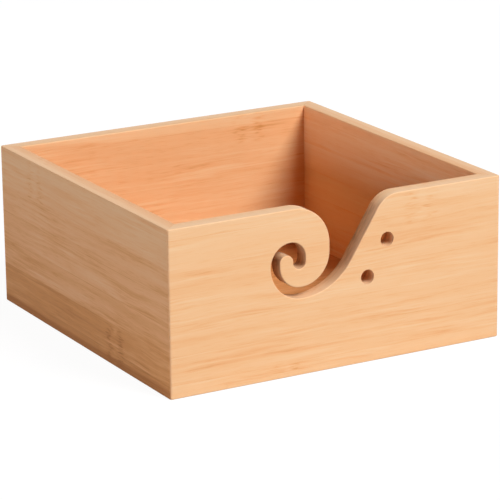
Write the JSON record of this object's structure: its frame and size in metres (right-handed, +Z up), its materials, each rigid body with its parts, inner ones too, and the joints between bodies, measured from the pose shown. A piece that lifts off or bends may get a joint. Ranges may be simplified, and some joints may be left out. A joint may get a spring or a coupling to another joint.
{
  "type": "yarn dispenser box",
  "caption": "Square open-topped bamboo box that holds a ball of yarn and feeds the strand out through a curled slot or round holes in its front board.",
  "frame": {"origin": "on the table, under the middle of the square box", "axes": "+Z up, +X to the right along the front board, -Y out through the front board that holds the yarn guide"},
  "size_m": [0.2, 0.2, 0.09],
  "materials": {
    "bamboo_front": "satin lacquered bamboo, grain along the board",
    "bamboo_walls": "satin lacquered bamboo, grain along the board",
    "bamboo_base": "satin lacquered bamboo, grain from left to right"
  },
  "bodies": {
    "root": {"front_panel": "bamboo_front", "back_panel": "bamboo_walls", "left_panel": "bamboo_walls", "right_panel": "bamboo_walls", "base_panel": "bamboo_base"}
  },
  "joints": []
}
